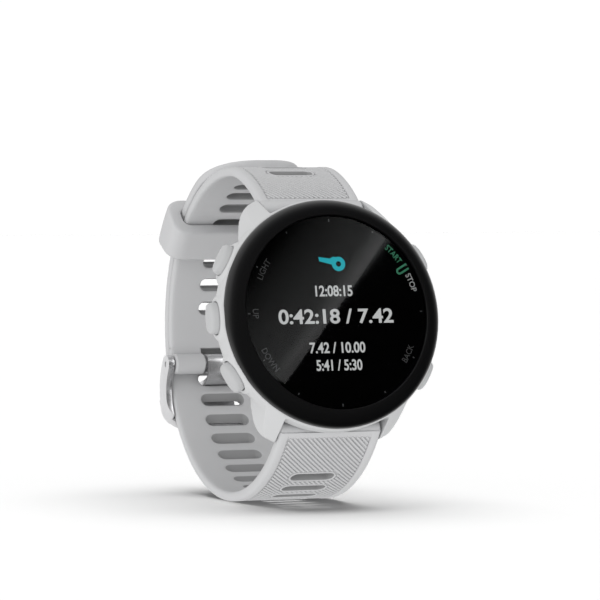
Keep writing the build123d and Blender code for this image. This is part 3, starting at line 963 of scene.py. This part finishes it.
def keeper():
    """The loop round both straps, its ends rounded over outside and flared a little inside."""
    lip = KEEPER_LIP
    inner_x, reach = STRAP_W + KEEPER_PLAY, STRAP_GAP + STRAP_T + KEEPER_PLAY
    length = math.radians(KEEPER_TO - KEEPER_FROM) * LOOP[0][2]
    stops = [(0.0, lip), (0.04, lip * 0.62), (0.16, lip * 0.29), (0.34, lip * 0.08), (lip, 0.0)]
    middle = stations(lip, length - lip, 14)[1:-1]
    places = stops + [(m, 0.0) for m in middle] + [(length - a, b) for a, b in reversed(stops)]
    outer, inside = [], []
    for s, inset in places:
        phi = KEEPER_FROM + math.degrees(s / LOOP[0][2])
        far = reach + KEEPER_WALL - inset
        wide = inner_x + KEEPER_WALL - inset
        outer.append([loop_point(x, phi, o) for x, o in round_box(wide, -far, far, KEEPER_OUTER_R)])
        near, flared = reach + inset * 0.4, inner_x + inset * 0.4
        inside.append([loop_point(x, phi, o) for x, o in round_box(flared, -near, near, KEEPER_INNER_R)])
    n = len(outer[0])
    verts_o, faces_o = loft(outer, caps=False)
    verts_i, faces_i = loft(inside, caps=False)
    base = len(verts_o)
    faces = faces_o + [tuple(i + base for i in reversed(f)) for f in faces_i]
    for ring in (0, len(outer) - 1):
        for i in range(n):
            j = (i + 1) % n
            faces.append((ring * n + i, ring * n + j, base + ring * n + j, base + ring * n + i))
    return verts_o + verts_i, faces


add_piece("keeper_band", *keeper(), silicone, body="keeper", slot="strap_silicone", replaces=["keeper_loop"],
          sharp=60)

# ------------------------------------------------------------------ buckle


def softened(cad_node, name, material, body, width=0.25, sharp=40):
    """A CAD node's own shape with its edges rounded over."""
    source = frame["nodes"][cad_node].data.copy()
    obj = new_object(name, source)
    bm = bmesh.new()
    bm.from_mesh(source)
    bmesh.ops.remove_doubles(bm, verts=bm.verts, dist=2e-6)
    bmesh.ops.dissolve_limit(bm, angle_limit=math.radians(0.5), verts=bm.verts, edges=bm.edges)
    bm.to_mesh(source)
    bm.free()
    edge = obj.modifiers.new("edge", "BEVEL")
    edge.width, edge.segments, edge.limit_method = width / 1000, 3, "ANGLE"
    edge.angle_limit = math.radians(35)
    apply_modifiers(obj)
    return dress_piece(obj, material, body, sharp, [cad_node])


steel_pieces = [
    softened("buckle_frame", "buckle_frame_skin", steel, "buckle_frame"),
    softened("buckle_tongue", "buckle_tongue_skin", steel, "buckle_tongue", 0.2),
]

# ------------------------------------------------------------------ floor, light and camera

KEY_FROM = Vector((-0.46, -0.8, -0.3)).normalized()
KEY_LOW, KEY_HIGH = 0.45, 1.3
PAPER, PAPER_SIDE = 1.02, (-0.25, 0.95, 0.1)  # the white paper's glow, and where mirrors see it
BOX_NEAR, BOX_FAR = 1.05, 0.0  # the soft box's glow beside its edge and away from it
BOX_FALL = 0.021
BOX_EDGE = ((11.73, 13.16), (-12.48, -12.18))  # two places of the glass that its edge crosses
BOX_LIT = (-7.85, 14.92)  # and one on its lit side
FLOOR_SUN, FLOOR_GREY, FLOOR_HALF = 8.3, 0.3, 3.0
FLOOR_SUN_ANGLE, FLOOR_SUN_TURN = 66, (-10, 5, 0)

# The camera's direction from the dial, its distance, and how far its aim lies beside the dial
AZIMUTH, ELEVATION, DISTANCE = -23.54, 1.96, 0.737
FOCAL_LENGTH, SENSOR = 247.86, 36.0
AIM_LEFT, AIM_UP = 6.405, 2.212


def direction(azimuth, elevation):
    """A direction from the dial. Azimuth 0 is straight in front of it."""
    ca, sa = turn(azimuth)
    ce, se = turn(elevation)
    return Vector((sa * ce, -ca * ce, se))


def aimed_at(point, obj, distance, way):
    """Puts a lamp or camera at a distance from the dial, looking at a point."""
    obj.location = DIAL + way * distance
    obj.rotation_euler = (point - obj.location).to_track_quat("-Z", "Y").to_euler()


def softbox(name, azimuth, elevation, distance, size, power):
    """A square lamp aimed at the watch."""
    data = bpy.data.lights.new(name, "AREA")
    data.shape, data.size, data.energy = "SQUARE", size, power
    lamp = new_object(name, data)
    aimed_at(DIAL, lamp, distance, direction(azimuth, elevation))
    return lamp


def light_only(lamp, name, pieces):
    """Makes a lamp light these pieces alone."""
    group = bpy.data.collections.new(name)
    for piece in pieces:
        group.objects.link(piece)
    lamp.light_linking.receiver_collection = group


floor_mesh = bpy.data.meshes.new("floor")
corners = [(-1, -1), (1, -1), (1, 1), (-1, 1)]
floor_mesh.from_pydata([(x * FLOOR_HALF, y * FLOOR_HALF, 0) for x, y in corners], [], [(0, 1, 2, 3)])
floor = new_object("floor", floor_mesh)
floor_look = surface("floor_white", [FLOOR_GREY] * 3, 0.9, grain=3.0, bump=0.02, vary=0.005,
                     Specular_IOR_Level=0.0)
floor_mesh.materials.append(floor_look)
floor.visible_diffuse = False
floor.visible_glossy = False

towards_camera = direction(AZIMUTH, ELEVATION)
right = Vector((*turn(AZIMUTH), 0))
up = towards_camera.cross(right)
camera_data = bpy.data.cameras.new("camera")
camera_data.sensor_width, camera_data.lens, camera_data.clip_start = SENSOR, FOCAL_LENGTH, 0.01
camera = new_object("camera", camera_data)
aimed_at(DIAL - right * AIM_LEFT / 1000 + up * AIM_UP / 1000, camera, DISTANCE, towards_camera)
scene = bpy.context.scene
scene.camera = camera
scene.view_settings.view_transform, scene.view_settings.look = "Standard", "None"

# Studio: white paper behind, soft light mostly from the front left, dark cloth in
# front that the glass and bezel mirror, and one soft box whose edge crosses the glass
world = bpy.data.worlds.new("studio")
scene.world = world
world.use_nodes = True
tree = world.node_tree
tree.nodes.clear()
towards = node(tree, "TexCoord").outputs["Generated"]


def facing(way, low, high, out=(0.0, 1.0), smooth=True):
    """A value that goes over the range out as a ray turns along a way, between two cosines."""
    dot = tree.nodes.new("ShaderNodeVectorMath")
    dot.operation = "DOT_PRODUCT"
    dot.inputs[1].default_value = way
    tree.links.new(towards, dot.inputs[0])
    limits = {"From Min": low, "From Max": high, "To Min": out[0], "To Max": out[1]}
    span = node(tree, "MapRange", limits, Value=dot.outputs["Value"])
    span.interpolation_type = "SMOOTHSTEP" if smooth else "LINEAR"
    return span.outputs["Result"]


def backdrop(strength):
    """White light of a strength that is a number or a socket."""
    made = node(tree, "Background", {"Color": (1, 1, 1, 1)})
    if isinstance(strength, float):
        made.inputs["Strength"].default_value = strength
    else:
        tree.links.new(strength, made.inputs["Strength"])
    return made.outputs["Background"]


def sums(a, b, kind):
    """Two values combined by a kind of arithmetic."""
    made = tree.nodes.new("ShaderNodeMath")
    made.operation = kind
    tree.links.new(a, made.inputs[0])
    tree.links.new(b, made.inputs[1])
    return made.outputs["Value"]


def choice(ray, otherwise, chosen):
    """One light for rays of a kind, and another for the rest."""
    mix = node(tree, "MixShader", Fac=node(tree, "LightPath").outputs[ray])
    tree.links.new(otherwise, mix.inputs[1])
    tree.links.new(chosen, mix.inputs[2])
    return mix.outputs["Shader"]


def mirrored(x, z):
    """Where the camera's ray goes after the glass, from a point of the dial."""
    point = TO_ROW @ Vector((x, GLASS_FRONT, z))
    return (point - camera.location).normalized().reflect(dial_axis)


soft = facing(KEY_FROM, -1.0, 1.0, (KEY_LOW, KEY_HIGH))
behind = facing(PAPER_SIDE, -0.1, 0.45, (0.004, 1.0))
edge_a, edge_b = (mirrored(*place) for place in BOX_EDGE)
edge = edge_a.cross(edge_b).normalized()
if edge.dot(mirrored(*BOX_LIT)) < 0:
    edge.negate()
box_edge = facing(edge, -0.0002, 0.0002, smooth=False)
fall = facing(edge, 0.0, BOX_FALL, (BOX_NEAR, BOX_FAR), smooth=False)
near = facing((edge_a + edge_b).normalized(), turn(14)[0], turn(9)[0])
box = sums(sums(box_edge, near, "MULTIPLY"), fall, "MULTIPLY")
mirrors = backdrop(sums(behind, box, "ADD"))
light = choice("Is Camera Ray", choice("Is Glossy Ray", backdrop(soft), mirrors), backdrop(PAPER))
node(tree, "OutputWorld", Surface=light)

softbox("left_box", -80, 20, 0.7, 0.4, 0.15)
steel_box = softbox("steel_box", 5, 30, 0.6, 0.95, 5.0)
light_only(steel_box, "only_steel", steel_pieces)

# One wide sun that lights the floor alone, and so draws the contact shadow
sun = bpy.data.lights.new("floor_sun", "SUN")
sun.energy, sun.angle = FLOOR_SUN, math.radians(FLOOR_SUN_ANGLE)
overhead = new_object("floor_sun", sun)
overhead.rotation_euler = [math.radians(a) for a in FLOOR_SUN_TURN]
light_only(overhead, "only_floor", [floor])
